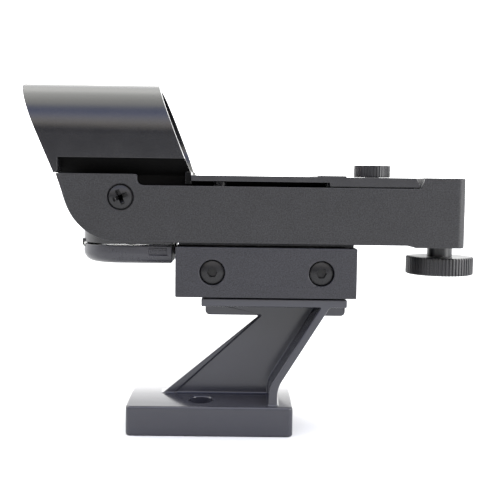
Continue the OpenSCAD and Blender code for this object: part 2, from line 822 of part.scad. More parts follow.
module sight_housing() {
    in_y = body_w / 2 - body_wall;
    lug_y = knuckle_w / 2 + knuckle_gap;
    color([0.25, 0.25, 0.26])
        difference() {
            union() {
                // Sight tube
                intersection() {
                    along(tube_front_x - tube_d, tube_rear_foot_x)
                        tube_section();
                    across(-tube_d, tube_d)
                        tube_ends_profile();
                }
                across(-body_w / 2, body_w / 2)
                    body_profile();
                // Front cheeks that carry the straight sides down ahead of the frame
                intersection() {
                    across(-tube_r, tube_r)
                        tube_ends_profile();
                    union() {
                        box([tube_front_x, -tube_d, frame_front_z + 0.1], [-frame_front - 0.2, tube_d, skirt_z + 1]);
                        box([tube_front_x, -tube_d, frame_front_z + 0.5], [cheek_x1, tube_d, skirt_z + 1]);
                    }
                }
                // Shoulder where the top cover starts
                box([tube_rear_foot_x - 1.6, -cover_w / 2 + 0.6, frame_mid_z + 0.4],
                    [tube_rear_foot_x + 0.1, cover_w / 2 - 0.6, cover_z1 + 0.9]);
                // Battery bay
                translate([0, 0, bay_z0])
                    linear_extrude(height = body_z0 - bay_z0 + body_wall)
                        bay_plan();
                // Latch strip behind the battery cover
                box([bay_x1 + latch_gap, -latch_w / 2, battery_cover_z1 - 3],
                    [bay_x1 + latch_gap + latch_t, latch_w / 2, bay_z0 + 0.3]);
                box([bay_x1 - 1, -latch_w / 2, bay_z0],
                    [bay_x1 + latch_gap + latch_t, latch_w / 2, bay_z0 + 0.3]);
                // Tongue that the altitude screw lifts
                box([body_rear_x - 1, -tongue_w / 2, tongue_z0],
                    [frame_rear - rear_wall - 0.3, tongue_w / 2, tongue_z0 + tongue_h]);
                // Hinge lugs of the battery cover
                both_sides()
                    translate([0, lug_y, 0])
                        union() {
                            rod_y(hinge_r, hinge_x, hinge_z, 0, lug_w, 32);
                            box([hinge_x - hinge_r, 0, hinge_z], [hinge_x + 2, lug_w, bay_z0 + 1]);
                        }
            }
            // Bore of the sight tube, with a flat floor behind the lens
            tube_rod(bore_r);
            // Inside of the box, open at the top behind the tube
            box([tube_rear_foot_x + 2, -in_y, body_z0 + body_wall],
                [body_rear_x - body_wall, in_y, cover_z0 + cut]);
            difference() {
                box([bay_x - 10, -in_y, body_z0 + body_wall], [tube_rear_foot_x + 3, in_y, cavity_top_z]);
                rod_y(4, pivot_x, pivot_z, -frame_w, frame_w);
            }
            both_sides()
                rod_y(pivot_d / 2, pivot_x, pivot_z, body_w / 2 - 4.6, body_w / 2 + 1);
            box([pivot_x - 5, -body_w / 2 + 5, pivot_z - 5], [pivot_x + 5, body_w / 2 - 5, cavity_top_z]);
            // Battery bay's inside and the way for its wires
            rod_z(cell_d / 2 + cell_gap, bay_x, 0, bay_z0 - cut, body_z0 + 0.3);
            box([bay_x - 4, -3, body_z0 - cut], [bay_x + 4, 3, body_z0 + body_wall + cut]);
            // Room for the cover's knuckle
            rod_y(hinge_relief_r, hinge_x, hinge_z, -lug_y, lug_y, 32);
            // Hinge pin's hole
            rod_y(hinge_pin_d / 2, hinge_x, hinge_z, -10, 10, 32);
            // Way for the light source's wires
            rod_z(1.1, led_x, 0, cavity_top_z - cut, tube_z - bore_r + cut);
            rod_z(insert_d / 2, altitude_x, 0, tongue_z0 - cut, tongue_z0 + tongue_h + cut);
            // Cover screws' pilot holes
            at_cover_screws()
                rod_z(1, 0, 0, cover_z0 - 5, cover_z0 + cut);
        }
    // Bosses for the cover screws
    color([0.25, 0.25, 0.26])
        at_cover_screws()
            difference() {
                rod_z(2, 0, 0, body_z0 + body_wall, cover_z0);
                rod_z(1, 0, 0, cover_z0 - 5, cover_z0 + cut);
            }
}

// Top cover and brightness control

cover_screw_x = [tube_rear_foot_x + 8, dimmer_x - 12];
module at_cover_screws() {
    for (x = cover_screw_x)
        for (y = [-1, 1])
            translate([x, y * (body_w / 2 - body_wall - 1.7), 0])
                children();
}

module top_cover() {
    pad_x = [dimmer_x - 16.4, dimmer_x - 8.4];
    color([0.27, 0.27, 0.28])
        difference() {
            union() {
                across(-cover_w / 2, cover_w / 2)
                    polygon([
                        [tube_rear_foot_x + 0.1, cover_z0],
                        [tube_rear_foot_x + 0.1, cover_z1],
                        [cover_x1 - 1.4, cover_z1],
                        [cover_x1, cover_z0 - skirt_h / 2],
                        [cover_x1 - 0.3, cover_z0 - skirt_h],
                        [skirt_x0, cover_z0 - skirt_h],
                        [skirt_x0, cover_z0]
                    ]);
                box([pad_x[0], -cover_w / 2, cover_z1 - 0.1], [pad_x[1], cover_w / 2, cover_z1 + 0.35]);
                // Lips that close the gap over the housing's walls
                both_sides()
                    box([tube_rear_foot_x + 0.1, lip_y, body_top_z + 0.05],
                        [skirt_x0 + 0.3, lip_y + lip_t, cover_z0 + cover_t / 2]);
            }
            // The skirt's inside, round the housing's rear walls
            box([skirt_x0 - cut, -body_w / 2 - 0.05, cover_z0 - skirt_h - cut],
                [body_rear_x + 0.05, body_w / 2 + 0.05, cover_z0]);
            rod_z(dimmer_shaft_d / 2 + dimmer_gap, dimmer_x, dimmer_y, cover_z0 - cut, cover_z1 + cut);
            at_cover_screws() {
                rod_z(1.2, 0, 0, cover_z0 - cut, cover_z1 + cut);
                rod_z(2.1, 0, 0, cover_z1 - 0.8, cover_z1 + cut);
            }
        }
}

module cover_screws() {
    color([0.18, 0.18, 0.19])
        at_cover_screws()
            difference() {
                union() {
                    rod_z(1, 0, 0, cover_z0 - 4.5, cover_z1 - 0.7);
                    rod_z(1.9, 0, 0, cover_z1 - 0.8, cover_z1 - 0.1);
                }
                for (turn = [0, 90])
                    rotate([0, 0, turn])
                        translate([-1.1, -0.25, cover_z1 - 0.5])
                            cube([2.2, 0.5, 1]);
            }
}

module brightness_knob() {
    z0 = cover_z1 + dimmer_gap;
    color([0.15, 0.15, 0.16])
        difference() {
            translate([dimmer_x, dimmer_y, z0]) {
                linear_extrude(height = dimmer_knob_h - 0.3)
                    polygon(ribbed(dimmer_knob_d / 2, 0.2, 40));
                cylinder(r = dimmer_knob_d / 2 - 0.4, h = dimmer_knob_h);
            }
            rod_z(dimmer_shaft_d / 2, dimmer_x, dimmer_y, z0 - cut, z0 + dimmer_knob_h - 1);
            box([dimmer_x - 0.4, dimmer_y + 1.5, z0 + dimmer_knob_h - 0.4],
                [dimmer_x + 0.4, dimmer_y + 4, z0 + dimmer_knob_h + cut]);
        }
}

module dimmer_shaft() {
    color([0.75, 0.75, 0.76])
        rod_z(dimmer_shaft_d / 2, dimmer_x, dimmer_y, cover_z0 - dimmer_body_h, cover_z1 + dimmer_gap + dimmer_knob_h - 1);
}

module dimmer_body() {
    color([0.1, 0.25, 0.15])
        difference() {
            union() {
                rod_z(dimmer_body_d / 2, dimmer_x - 1.8, dimmer_y + 1, cover_z0 - dimmer_body_h - 0.8, cover_z0);
                for (i = [-1 : 1])
                    box([dimmer_x - 7.4, dimmer_y + 1 + 2 * i - 0.3, cover_z0 - dimmer_body_h],
                        [dimmer_x - 5.2, dimmer_y + 1 + 2 * i + 0.3, cover_z0 - dimmer_body_h + 0.3]);
            }
            rod_z(dimmer_shaft_d / 2 + 0.05, dimmer_x, dimmer_y, cover_z0 - dimmer_body_h, cover_z0 + cut);
        }
}

// Lens and light source

// Places children on the lens, its +X towards the eye
module at_lens() {
    translate([lens_x, 0, tube_z])
        rotate([0, lens_tilt, 0])
            rotate([0, 90, 0])
                children();
}

module lens_cell() {
    color([0.08, 0.08, 0.08])
        difference() {
            translate([lens_x - cell_len / 2, 0, tube_z])
                rotate([0, 90, 0])
                    cylinder(r = bore_r, h = cell_len, $fn = 128);
            at_lens() {
                translate([0, 0, -cell_len])
                    cylinder(d = lens_d + 2 * lens_seat_gap, h = cell_len + lens_t / 2, $fn = 96);
                cylinder(d = lens_d - 1.6, h = 3 * cell_len, center = true, $fn = 96);
            }
        }
}

module reflector_lens() {
    color([0.6, 0.45, 0.4, 0.5])
        at_lens()
            translate([0, 0, -lens_t / 2])
                cylinder(d = lens_d, h = lens_t, $fn = 96);
}

module lens_retainer() {
    color([0.1, 0.1, 0.1])
        at_lens()
            translate([0, 0, -lens_t / 2 - 0.8])
                difference() {
                    cylinder(d = lens_d, h = 0.8, $fn = 96);
                    translate([0, 0, -cut])
                        cylinder(d = lens_d - 1.6, h = 0.8 + 2 * cut, $fn = 96);
                }
}

// Places children at the light source, with +Z towards the lens
module at_led() {
    translate([led_x, 0, led_z])
        rotate([0, led_angle - 90, 0])
            children();
}

module led_holder() {
    color([0.08, 0.08, 0.08])
        difference() {
            intersection() {
                tube_rod(bore_r);
                box([led_x - 2.6, -3, tube_z - tube_r], [led_x + 3, 3, led_z + 2.6]);
            }
            at_led()
                translate([0, 0, -2.5])
                    cylinder(d = 3, h = 8);
            rod_z(1.1, led_x, 0, tube_z - tube_r, led_z - 0.5);
        }
}

module led() {
    color([0.8, 0.1, 0.1])
        at_led() {
            translate([0, 0, -2.4])
                cylinder(d = 3, h = 3);
            translate([0, 0, 0.6])
                sphere(d = 2.6, $fn = 48);
        }
}

module pinhole_mask() {
    color([0.3, 0.3, 0.3])
        at_led()
            translate([0, 0, 2])
                difference() {
                    cylinder(d = 3, h = 0.3);
                    translate([0, 0, -cut])
                        cylinder(d = 0.5, h = 3, $fn = 24);
                }
}

// Battery

// Half section of the battery cover, its lower outer corner rounded
module battery_section() {
    r = battery_edge_r;
    square([bay_r - r, battery_cover_h]);
    translate([0, r])
        square([bay_r, battery_cover_h - r]);
    intersection() {
        translate([bay_r - r, r])
            circle(r = r, $fn = 64);
        square([bay_r, r + battery_edge_r / 4]);
    }
}

module battery_cover_solid() {
    intersection() {
        translate([bay_x, 0, battery_cover_z0])
            rotate_extrude($fn = 96)
                battery_section();
        box([bay_x - 2 * bay_r, -2 * bay_r, battery_cover_z0 - cut], [bay_x, 2 * bay_r, battery_cover_z1 + cut]);
    }
    intersection() {
        translate([0, 0, battery_cover_z0])
            along(bay_x, bay_x1) {
                battery_section();
                mirror([1, 0])
                    battery_section();
            }
        across(-bay_r - cut, bay_r + cut)
            round_rect([bay_x - 5, battery_cover_z0], [bay_x1, battery_cover_z1 + 2], 0.8);
    }
}

module battery_cover() {
    wall = bay_r - cell_d / 2 - cell_gap;
    groove_y = bay_r - 0.5;
    color([0.2, 0.2, 0.21])
        difference() {
            union() {
                difference() {
                    battery_cover_solid();
                    rod_z(cell_d / 2 + cell_gap, bay_x, 0, battery_cover_z0 + battery_floor_t,
                        battery_cover_z1 + cut);
                    // Room round the hinge
                    rod_y(hinge_relief_r, hinge_x, hinge_z, -knuckle_w / 2 - lug_w - 2 * knuckle_gap,
                        knuckle_w / 2 + lug_w + 2 * knuckle_gap, 32);
                    // Finger grips near the rear
                    both_sides()
                        box([bay_x1 - 6.6, groove_y, battery_cover_z1 - 2.6],
                            [bay_x1 - 1.4, bay_r + cut, battery_cover_z1 - 0.5]);
                }
                rod_y(hinge_r, hinge_x, hinge_z, -knuckle_w / 2, knuckle_w / 2, 32);
                box([hinge_x, -knuckle_w / 2, hinge_z - 2 * hinge_r],
                    [hinge_x + wall / 2 - 0.15, knuckle_w / 2, hinge_z]);
            }
            rod_y(hinge_pin_d / 2 + 0.05, hinge_x, hinge_z, -knuckle_w, knuckle_w, 32);
        }
}

module battery_hinge_pin() {
    reach = knuckle_w / 2 + knuckle_gap + lug_w;
    color([0.7, 0.7, 0.72])
        rod_y(hinge_pin_d / 2, hinge_x, hinge_z, -reach, reach, 32);
}

module coin_cell() {
    z0 = battery_cover_z0 + battery_floor_t;
    color([0.8, 0.8, 0.82])
        union() {
            rod_z(cell_d / 2, bay_x, 0, z0 + 0.3, z0 + cell_t, 96);
            rod_z(cell_d / 2 - 1.2, bay_x, 0, z0, z0 + 0.4, 96);
        }
}

// Leaf that presses on the cell's face
module positive_contact() {
    z_cell = battery_cover_z0 + battery_floor_t + cell_t + 0.3;
    z_roof = body_z0 + 0.3;
    color([0.85, 0.8, 0.6])
        across(-1.5, 1.5)
            polygon([
                [bay_x - 8, z_roof],
                [bay_x - 8, z_roof - 0.3],
                [bay_x - 5, z_roof - 0.3],
                [bay_x + 1, z_cell],
                [bay_x + 3, z_cell],
                [bay_x + 3, z_cell + 0.3],
                [bay_x + 1.2, z_cell + 0.3],
                [bay_x - 4.8, z_roof]
            ]);
}

// Clip that touches the cell's rim
module negative_contact() {
    r = cell_d / 2;
    z_roof = body_z0 + 0.3;
    color([0.85, 0.8, 0.6])
        translate([0, -5.5, 0])
            across(-1.2, 1.2)
                polygon([
                    [bay_x + 2, z_roof],
                    [bay_x + 2, z_roof - 0.3],
                    [bay_x + r - 2.7, z_roof - 0.3],
                    [bay_x + r - 2.7, bay_z0 - 0.3],
                    [bay_x + r - 2.4, bay_z0 - 0.3],
                    [bay_x + r - 2.4, z_roof]
                ]);
}

// A wire along straight runs, which pass each other a little at each bend. Every second run
// is a little thicker, as insulation swells where it is bent.
module wire(points, d = 0.9) {
    for (i = [0 : len(points) - 2]) {
        run = points[i + 1] - points[i];
        length = norm(run);
        start = (i > 0) ? d / 3 : 0;
        end = (i < len(points) - 2) ? d / 3 : 0;
        translate(points[i])
            rotate([0, acos(run[2] / length), atan2(run[1], run[0])])
                translate([0, 0, -start])
                    cylinder(d = d * (1 + 0.1 * (i % 2)), h = length + start + end, $fn = 16);
    }
}

module positive_wire() {
    z = body_z0 + body_wall + 1;
    color([0.7, 0.1, 0.1])
        wire([
            [bay_x + 1, 1.6, body_z0 + 0.9],
            [bay_x + 1, 1.6, z],
            [bay_x + 12, 4, z],
            [dimmer_x - 8, 4, z],
            [dimmer_x - 8, dimmer_y + 3, cover_z0 - dimmer_body_h - 1.6],
            [dimmer_x - 5, dimmer_y + 3, cover_z0 - dimmer_body_h - 1.6]
        ]);
}

module negative_wire() {
    z = body_z0 + body_wall + 1;
    color([0.1, 0.1, 0.1])
        wire([
            [bay_x + 1, -1.6, body_z0 + 0.9],
            [bay_x + 1, -1.6, z],
            [led_x, 0, z],
            [led_x, 0, led_z - 1.9]
        ]);
}

mount_bracket();
rail_clamp();
clamp_screws();
clamp_nuts();
azimuth_pivot_screw();
azimuth_washer();
swivel_washer();
azimuth_knob();
azimuth_screw();
azimuth_circlip();
azimuth_nut();
yoke_frame();
pivot_bushes();
pivot_washers();
pivot_screws();
altitude_knob();
altitude_screw();
altitude_washer();
altitude_circlip();
altitude_spring();
altitude_nut();
sight_housing();
top_cover();
cover_screws();
lens_cell();
reflector_lens();
lens_retainer();
led_holder();
led();
pinhole_mask();
brightness_knob();
dimmer_shaft();
dimmer_body();
positive_contact();
negative_contact();
positive_wire();
negative_wire();
battery_hinge_pin();
battery_cover();
coin_cell();
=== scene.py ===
import bpy
import bmesh
import json
import math
from mathutils import Matrix, Vector


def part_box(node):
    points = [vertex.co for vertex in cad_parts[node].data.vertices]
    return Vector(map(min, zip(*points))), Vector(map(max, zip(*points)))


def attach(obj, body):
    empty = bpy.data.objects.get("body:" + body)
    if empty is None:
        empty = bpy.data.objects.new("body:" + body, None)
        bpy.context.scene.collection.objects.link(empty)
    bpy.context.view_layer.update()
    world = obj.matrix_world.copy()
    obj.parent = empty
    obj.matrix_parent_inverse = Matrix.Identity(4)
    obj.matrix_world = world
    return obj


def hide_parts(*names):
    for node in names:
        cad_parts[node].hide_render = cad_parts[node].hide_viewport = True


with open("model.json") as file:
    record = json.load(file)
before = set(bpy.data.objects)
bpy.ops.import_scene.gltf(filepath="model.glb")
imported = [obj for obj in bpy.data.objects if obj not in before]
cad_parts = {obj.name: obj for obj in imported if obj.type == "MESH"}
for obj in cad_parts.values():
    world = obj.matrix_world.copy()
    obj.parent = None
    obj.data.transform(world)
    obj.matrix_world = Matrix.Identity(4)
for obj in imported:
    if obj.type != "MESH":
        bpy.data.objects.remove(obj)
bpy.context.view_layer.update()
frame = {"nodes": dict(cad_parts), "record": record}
scene = bpy.context.scene
millimetre = 0.001
print("finder: frame loaded,", len(frame["nodes"]), "nodes")

def addNode(tree, kind, inputs=None, **settings):
    node = tree.nodes.new(kind)
    for key, value in settings.items():
        setattr(node, key, value)
    for key, value in (inputs or {}).items():
        socket = node.inputs[key]
        if isinstance(value, bpy.types.NodeSocket):
            tree.links.new(value, socket)
        else:
            socket.default_value = value
    return node


def calc(tree, operation, first, second=None, third=None):
    node = addNode(tree, "ShaderNodeMath", operation=operation)
    for index, value in enumerate((first, second, third)):
        if isinstance(value, bpy.types.NodeSocket):
            tree.links.new(value, node.inputs[index])
        elif value is not None:
            node.inputs[index].default_value = value
    return node.outputs[0]


cameraSetup = {
    "place": (8.25, -262.5, 73.25),  # millimetres
    "pitchDown": 4.5,
    "turnRight": 0.65,
    "roll": 0.8,
    "lens": 63.36,
    "sensor": 36.0,
    "clip": (0.01, 100.0),  # metres
}


def placeCamera(setup):
    pitch, turn, roll = (math.radians(setup[k]) for k in ("pitchDown", "turnRight", "roll"))
    forward = Vector((math.sin(turn) * math.cos(pitch), math.cos(turn) * math.cos(pitch), -math.sin(pitch)))
    right = Vector((math.cos(turn), -math.sin(turn), 0.0))
    up = right.cross(forward)
    rolledRight = right * math.cos(roll) + up * math.sin(roll)
    rolledUp = up * math.cos(roll) - right * math.sin(roll)
    data = bpy.data.cameras.new("camera")
    data.lens = setup["lens"]
    data.sensor_width = setup["sensor"]
    data.clip_start, data.clip_end = setup["clip"]
    camera = bpy.data.objects.new("camera", data)
    turned = Matrix((rolledRight, rolledUp, -forward)).transposed().to_4x4()
    camera.matrix_world = Matrix.Translation(Vector(setup["place"]) * millimetre) @ turned
    scene.collection.objects.link(camera)
    scene.camera = camera


placeCamera(cameraSetup)

studio = {
    "floorSize": 8.0,
    "floorTone": 0.62,
    "floorRough": 0.9,
    "floorShine": 0.1,
    "skyStrength": 1.0,
    # degrees from the front horizon over the top to the back horizon, and the light from there
    "sky": (
        (0, (0.14, 0.14, 0.15)), (16, (0.16, 0.16, 0.17)), (25, (2.5, 2.3, 2.0)), (34, (2.9, 2.8, 2.8)),
        (44, (2.1, 2.2, 2.9)), (54, (0.9, 1.1, 2.0)), (62, (1.1, 1.25, 1.9)), (74, (3.3, 3.3, 3.1)),
        (104, (4.2, 4.2, 4.0)), (116, (5.0, 5.0, 4.8)), (136, (2.3, 2.3, 2.25)), (160, (2.5, 2.5, 2.5)),
        (180, (3.4, 3.4, 3.4)),
    ),
    "softboxes": {
        "sideRight": {"place": (0.8, -0.42, 0.22), "aim": (0.03, 0, 0.05), "size": (0.4, 0.5), "watts": 6.0},
    },
}


def makeFloor(setup):
    half, tone = setup["floorSize"] / 2, setup["floorTone"]
    mesh = bpy.data.meshes.new("floor")
    corners = [(-half, -half, 0), (half, -half, 0), (half, half, 0), (-half, half, 0)]
    mesh.from_pydata(corners, [], [(0, 1, 2, 3)])
    floor = bpy.data.objects.new("floor", mesh)
    scene.collection.objects.link(floor)
    paint = bpy.data.materials.new("paleFloor")
    paint.use_nodes = True
    shader = paint.node_tree.nodes["Principled BSDF"]
    shader.inputs["Base Color"].default_value = (tone, tone, tone, 1)
    shader.inputs["Roughness"].default_value = setup["floorRough"]
    shader.inputs["Specular IOR Level"].default_value = setup["floorShine"]
    mesh.materials.append(paint)


def makeSoftbox(label, box):
    data = bpy.data.lights.new(label, "AREA")
    data.shape = "RECTANGLE"
    data.size, data.size_y = box["size"]
    data.energy = box["watts"]
    lamp = bpy.data.objects.new(label, data)
    direction = Vector(box["aim"]) - Vector(box["place"])
    turned = direction.to_track_quat("-Z", "Y").to_matrix().to_4x4()
    lamp.matrix_world = Matrix.Translation(box["place"]) @ turned
    lamp.visible_camera = False
    scene.collection.objects.link(lamp)


def makeSky(setup):
    world = bpy.data.worlds.new("studio")
    scene.world = world
    world.use_nodes = True
    tree = world.node_tree
    tree.nodes.clear()
    where = addNode(tree, "ShaderNodeTexCoord").outputs["Generated"]
    x, y, z = addNode(tree, "ShaderNodeSeparateXYZ", {0: where}).outputs
    angle = calc(tree, "ARCTAN2", calc(tree, "ABSOLUTE", z), calc(tree, "MULTIPLY", y, -1.0))
    ramp = addNode(tree, "ShaderNodeValToRGB", {0: calc(tree, "DIVIDE", angle, math.pi)})
    stops = ramp.color_ramp.elements
    first, *inner, last = setup["sky"]
    stops[0].position, stops[0].color = first[0] / last[0], (*first[1], 1)
    stops[1].position, stops[1].color = 1.0, (*last[1], 1)
    for degrees, light in inner:
        stop = stops.new(degrees / last[0])
        stop.color = (*light, 1)
    glow = addNode(tree, "ShaderNodeBackground", {
        "Color": ramp.outputs["Color"], "Strength": setup["skyStrength"]})
    addNode(tree, "ShaderNodeOutputWorld", {"Surface": glow.outputs[0]})


makeFloor(studio)
for label, box in studio["softboxes"].items():
    makeSoftbox(label, box)
makeSky(studio)
scene.view_settings.view_transform = "Standard"
print("studio ready")

finishes = {
    # tone is linear; grain in millimetres; rough is (low, high); speckle is how far the grain shows
    "bracketPlastic": dict(
        tone=(0.026, 0.0265, 0.034), rough=(0.14, 0.22), grain=0.30, depth=0.002, mottle=0.08),
    "blockPlastic": dict(
        tone=(0.016, 0.016, 0.020), rough=(0.42, 0.54), grain=0.35, depth=0.010, mottle=0.14,
        speckle=0.6, shine=0.42),
    "framePlastic": dict(
        tone=(0.013, 0.013, 0.0145), rough=(0.42, 0.56), grain=0.35, depth=0.014, mottle=0.16,
        speckle=0.8, shine=0.42),
    "housingPlastic": dict(
        tone=(0.012, 0.012, 0.0135), rough=(0.18, 0.27), grain=0.25, depth=0.005, mottle=0.08, speckle=0.2),
    "coverPlastic": dict(
        tone=(0.016, 0.016, 0.018), rough=(0.30, 0.42), grain=0.22, depth=0.007, mottle=0.12, speckle=0.3),
    "knobPlastic": dict(
        tone=(0.012, 0.012, 0.014), rough=(0.30, 0.42), grain=0.20, depth=0.005, mottle=0.15, speckle=0.2),
    "batteryPlastic": dict(
        tone=(0.022, 0.022, 0.028), rough=(0.24, 0.34), grain=0.25, depth=0.005, mottle=0.10, speckle=0.3),
    # dead black: the real finish of the baffle parts, and also laid on crevice faces as painted shade
    "baffleBlackAndPaintedShade": dict(
        tone=(0.003, 0.003, 0.003), rough=(0.65, 0.80), grain=0.18, depth=0.012, mottle=0.20, shine=0.06),
    "nylonWhite": dict(
        tone=(0.62, 0.60, 0.55), rough=(0.40, 0.50), grain=0.30, depth=0.004, mottle=0.06),
    "redWire": dict(
        tone=(0.42, 0.02, 0.02), rough=(0.38, 0.48), grain=0.30, depth=0.004, mottle=0.10),
    "blackWire": dict(
        tone=(0.015, 0.015, 0.015), rough=(0.38, 0.48), grain=0.30, depth=0.004, mottle=0.10),
    "switchBody": dict(
        tone=(0.02, 0.09, 0.05), rough=(0.45, 0.55), grain=0.25, depth=0.006, mottle=0.10),
    "blackOxide": dict(
        tone=(0.010, 0.010, 0.011), rough=(0.24, 0.36), grain=0.15, depth=0.006, mottle=0.30, shine=0.3),
    "zincPlate": dict(
        tone=(0.62, 0.62, 0.60), rough=(0.24, 0.38), grain=0.20, depth=0.002, mottle=0.12, metal=1.0),
    "springSteel": dict(
        tone=(0.48, 0.47, 0.45), rough=(0.22, 0.34), grain=0.12, depth=0.002, mottle=0.12, metal=1.0),
    "turnedBrass": dict(
        tone=(0.70, 0.50, 0.20), rough=(0.22, 0.34), grain=0.12, depth=0.002, mottle=0.12, metal=1.0),
    "contactNickel": dict(
        tone=(0.66, 0.62, 0.52), rough=(0.20, 0.32), grain=0.15, depth=0.002, mottle=0.10, metal=1.0),
    "cellCan": dict(
        tone=(0.66, 0.66, 0.66), rough=(0.18, 0.30), grain=0.25, depth=0.002, mottle=0.08, metal=1.0),
    "redEpoxy": dict(
        tone=(0.55, 0.01, 0.01), rough=(0.10, 0.16), grain=0.40, depth=0.001, mottle=0.06),
}


# how the two noises under every finish are drawn; low and high are the part of their range in use
grainNoise = {"fineDetail": 3.0, "broadScale": 140.0, "broadDetail": 5.0, "low": 0.3, "high": 0.7}


def makeFinish(label, tone, rough, grain, depth, mottle, metal=0.0, speckle=0.0, shine=0.5):
    paint = bpy.data.materials.new(label)
    paint.use_nodes = True
    tree = paint.node_tree
    shader = tree.nodes["Principled BSDF"]
    where = addNode(tree, "ShaderNodeTexCoord").outputs["Object"]
    fine = addNode(tree, "ShaderNodeTexNoise", {
        "Vector": where, "Scale": 1 / (grain * millimetre), "Detail": grainNoise["fineDetail"]}).outputs["Fac"]
    broad = addNode(tree, "ShaderNodeTexNoise", {
        "Vector": where, "Scale": grainNoise["broadScale"], "Detail": grainNoise["broadDetail"]}).outputs["Fac"]
    dark = (*(c * (1 - mottle) for c in tone), 1)
    light = (*(c * (1 + mottle) for c in tone), 1)
    colour = addNode(tree, "ShaderNodeMix", {0: broad, 6: dark, 7: light}, data_type="RGBA").outputs[2]
    inUse = {"From Min": grainNoise["low"], "From Max": grainNoise["high"]}
    grainTone = addNode(tree, "ShaderNodeMapRange", {
        "Value": fine, **inUse, "To Min": 1 - speckle, "To Max": 1 + speckle}).outputs["Result"]
    grained = addNode(tree, "ShaderNodeVectorMath", {0: colour, "Scale": grainTone}, operation="SCALE")
    bothNoises = calc(tree, "MULTIPLY_ADD", fine, 0.5, calc(tree, "MULTIPLY", broad, 0.5))
    spread = addNode(tree, "ShaderNodeMapRange", {
        "Value": bothNoises, **inUse, "To Min": rough[0], "To Max": rough[1]})
    bump = addNode(tree, "ShaderNodeBump", {"Strength": 1.0, "Distance": depth * millimetre, "Height": fine})
    tree.links.new(grained.outputs[0], shader.inputs["Base Color"])
    tree.links.new(spread.outputs["Result"], shader.inputs["Roughness"])
    tree.links.new(bump.outputs["Normal"], shader.inputs["Normal"])
    shader.inputs["Metallic"].default_value = metal
    shader.inputs["Specular IOR Level"].default_value = shine
    return paint


paints = {label: makeFinish(label, **values) for label, values in finishes.items()}


lensGlass = {
    "finish": dict(tone=(0.80, 0.52, 0.42), rough=(0.01, 0.04), grain=2.0, depth=0.0002, mottle=0.08),
    "clearness": 0.85,
    "bending": 1.52,
}


def makeCoatedGlass(label, setup):
    paint = makeFinish(label, **setup["finish"])
    shader = paint.node_tree.nodes["Principled BSDF"]
    shader.inputs["Transmission Weight"].default_value = setup["clearness"]
    shader.inputs["IOR"].default_value = setup["bending"]
    return paint


paints["coatedGlass"] = makeCoatedGlass("coatedGlass", lensGlass)

slotPaint = {
    "bracket_plastic": "bracketPlastic", "block_plastic": "blockPlastic", "frame_plastic": "framePlastic",
    "housing_plastic": "housingPlastic", "cover_plastic": "coverPlastic", "knob_plastic": "knobPlastic",
    "battery_plastic": "batteryPlastic", "black_steel": "blackOxide", "plated_steel": "zincPlate",
    "spring_steel": "springSteel", "turned_brass": "turnedBrass", "nylon": "nylonWhite",
    "baffle_black": "baffleBlackAndPaintedShade", "coated_glass": "coatedGlass", "led_plastic": "redEpoxy",
    "cell_steel": "cellCan", "contact_metal": "contactNickel", "red_insulation": "redWire",
    "black_insulation": "blackWire", "switch_body": "switchBody",
}
nodeSlot = {part["node"]: part["material_slot"] for part in frame["record"]["subparts"]}
nodeBody = {n: body for body, names in frame["record"]["behaviour"]["bodies"].items() for n in names}


def paintFor(node):
    return paints[slotPaint[nodeSlot[node]]]


for node, item in frame["nodes"].items():
    item.data.materials.clear()
    item.data.materials.append(paintFor(node))
print("finishes made:", len(paints))

softEdges = {
    # node: (edge radius in millimetres, steps)
    "mount_bracket": (0.35, 3), "rail_clamp": (0.30, 3), "yoke_frame": (0.30, 3), "sight_housing": (0.22, 3),
    "top_cover": (0.20, 2), "battery_cover": (0.18, 2), "lens_cell": (0.15, 2), "reflector_lens": (0.15, 2),
    "clamp_nuts": (0.15, 2), "coin_cell": (0.20, 2), "azimuth_pivot_screw": (0.15, 2),
}
footEdge = {"height": 9.6, "radius": 0.65}  # millimetres; edges lower than this are rounder
# merge in metres, angles in degrees: flatter edges are dissolved, sharper ones are rounded
softening = {"merge": 2e-6, "flat": 0.4, "sharp": 32, "faceWeight": 80}
# boxes in millimetres; faces inside them that don't look up or along the sight are painted dead black as
# painted shade, standing in for the shadow in the crevices under the sight tube and the cover
paintedShadeZones = {
    "sight_housing": ((-44.5, -14.2, 70.9), (-4.0, 14.2, 79.25)),
    "top_cover": ((-6.0, -7.0, 70.0), (35.0, 7.0, 73.05)),
}
shadeFacing = {"up": 0.3, "along": 0.5}  # a face painted black as shade keeps its normal under these


# gives the zone's hidden faces the dead black finish: painted shade for the crevice's shadow
def paintShadeZone(mesh, zone):
    low, high = (Vector(corner) * millimetre for corner in zone)
    for face in mesh.polygons:
        inside = all(low[i] < face.center[i] < high[i] for i in range(3))
        hidden = face.normal.z < shadeFacing["up"] and abs(face.normal.x) < shadeFacing["along"]
        if inside and hidden:
            face.material_index = 1


